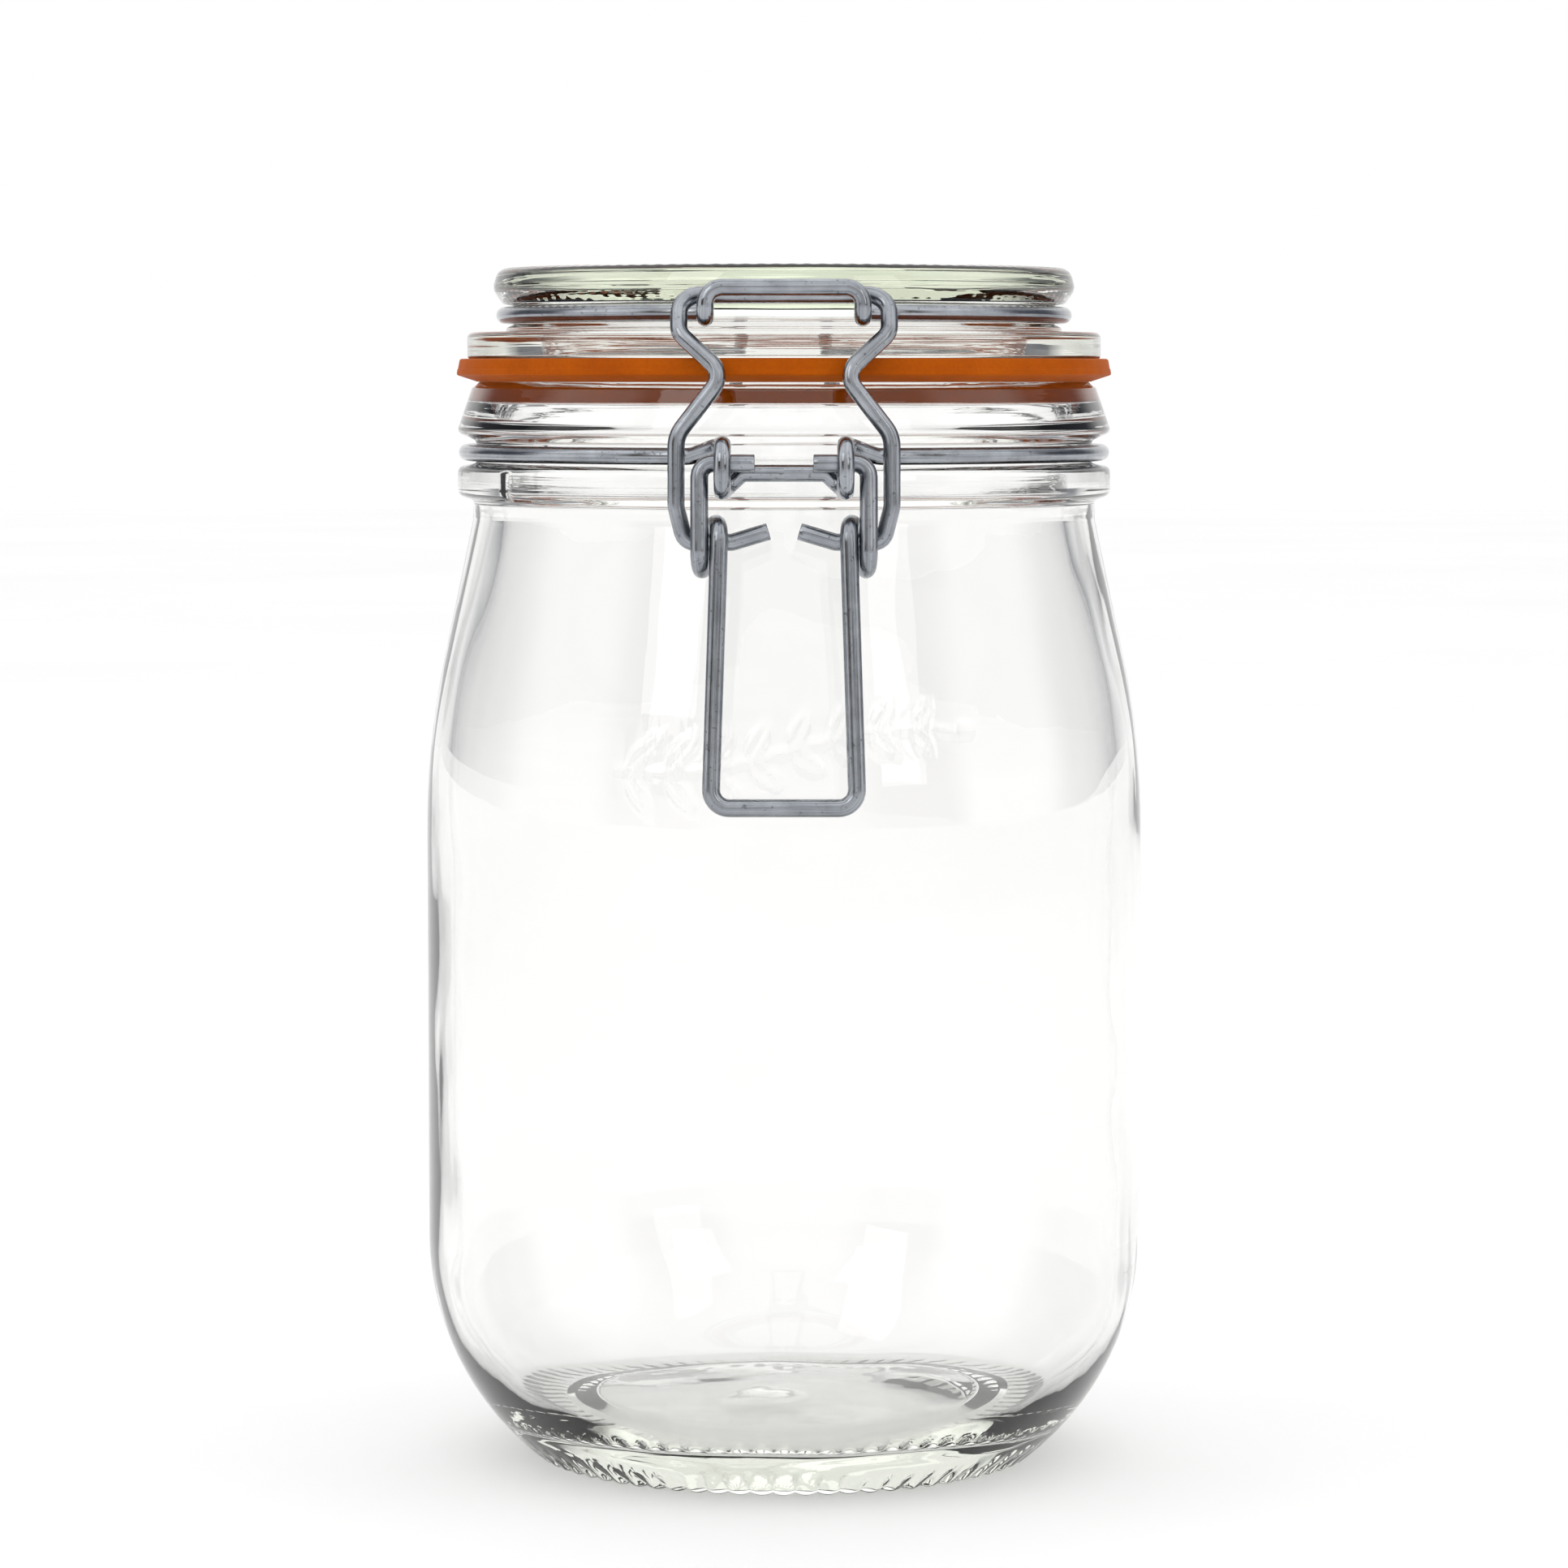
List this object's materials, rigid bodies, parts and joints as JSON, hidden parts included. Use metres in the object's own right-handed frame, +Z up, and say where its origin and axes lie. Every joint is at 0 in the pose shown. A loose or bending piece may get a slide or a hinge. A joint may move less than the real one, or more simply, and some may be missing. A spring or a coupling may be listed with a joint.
{
  "type": "bail clamp jar",
  "caption": "Glass preserving jar with a hinged glass lid on a rubber ring, held shut by an over-centre wire toggle clamp.",
  "frame": {"origin": "centre of the foot on the surface that the jar stands on", "axes": "+Z up along the jar's axis, -Y towards the clamp, +X to the right seen from the clamp side"},
  "size_m": [0.109, 0.1166, 0.1811],
  "materials": {
    "glass": "clear, smooth, faintly green at its thick edges",
    "lid_glass": "clear, pressed, with a fine knurl on the top edge",
    "zinc_wire": "zinc plated drawn wire, satin with lengthwise lines",
    "orange_rubber": "dull moulded rubber"
  },
  "bodies": {
    "jar": {"jar_body": "glass", "neck_band": "zinc_wire"},
    "lever": {"lever": "zinc_wire"},
    "bail": {"bail": "zinc_wire"},
    "lid": {"lid": "lid_glass", "lid_wire": "zinc_wire", "gasket": "orange_rubber"}
  },
  "joints": [
    {"name": "lever_pivot", "type": "hinge", "parent": "jar", "child": "lever", "pos_m": [0, -0.0532, 0.1524], "axis": [-1, 0, 0], "range_deg": [0, 85]},
    {"name": "bail_crank", "type": "hinge", "parent": "lever", "child": "bail", "pos_m": [0, -0.0519, 0.1411], "axis": [-1, 0, 0], "range_deg": [-64, 0]},
    {"name": "lid_hinge", "type": "hinge", "parent": "jar", "child": "lid", "pos_m": [0, 0.05445, 0.1533], "axis": [-1, 0, 0], "range_deg": [0, 180]}
  ],
  "couplings": [
    {"joint": "bail_crank", "follows": "lever_pivot", "ratio": -0.75}
  ]
}
